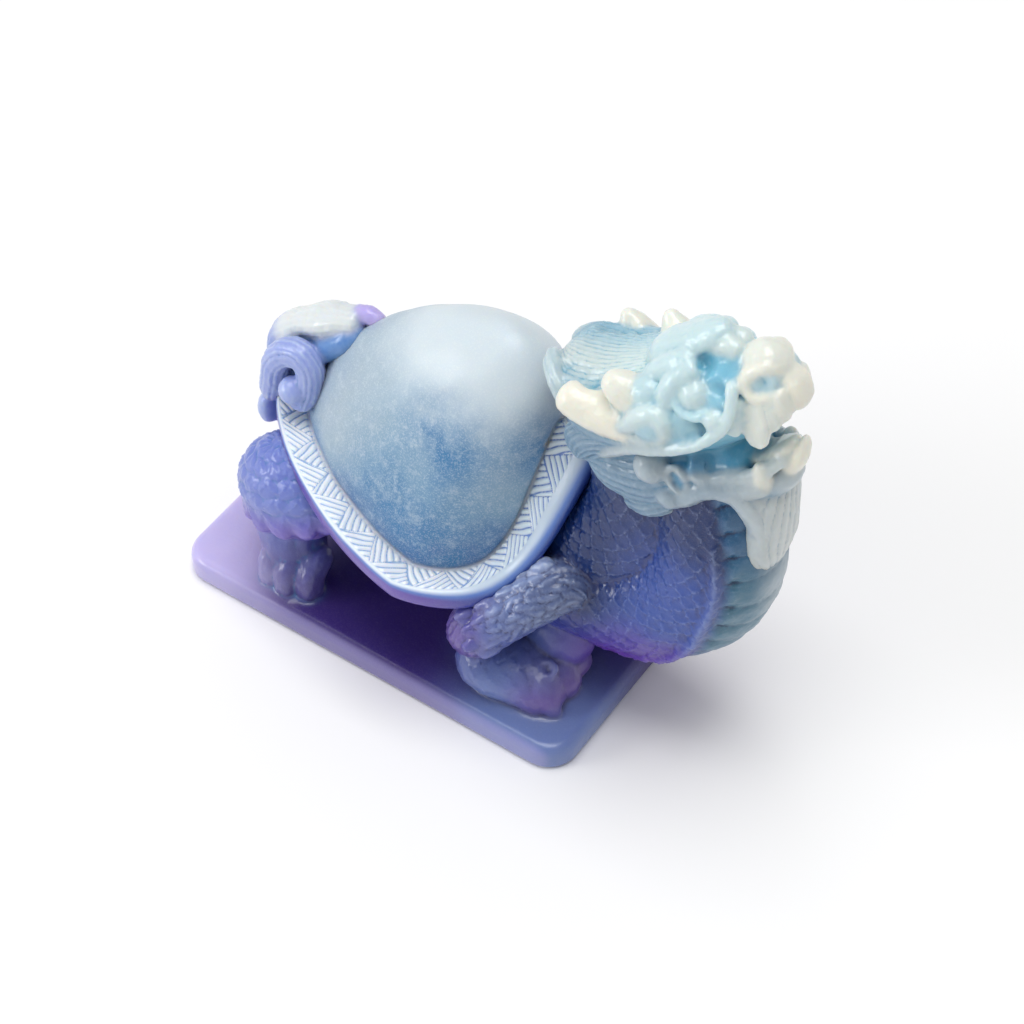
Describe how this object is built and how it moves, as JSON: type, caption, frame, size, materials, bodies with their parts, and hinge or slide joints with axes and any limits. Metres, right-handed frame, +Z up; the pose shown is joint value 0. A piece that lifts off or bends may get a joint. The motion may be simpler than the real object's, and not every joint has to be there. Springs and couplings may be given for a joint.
{
  "type": "dragon turtle figure",
  "caption": "Small cast figure of a dragon turtle: a horned dragon's head on a turtle's body with a tall plain shell, on a thin rectangular plate.",
  "frame": {"origin": "centre of the plate's underside", "axes": "+X towards the head along the plate's length, +Y to the animal's left, +Z up"},
  "size_m": [0.0687, 0.032, 0.0598],
  "materials": {
    "cast_resin": "milky translucent casting, violet at the plate and legs, blue on the shell, cream at the head, softly glossy"
  },
  "bodies": {
    "root": {"dragon_turtle": "cast_resin"}
  },
  "joints": []
}
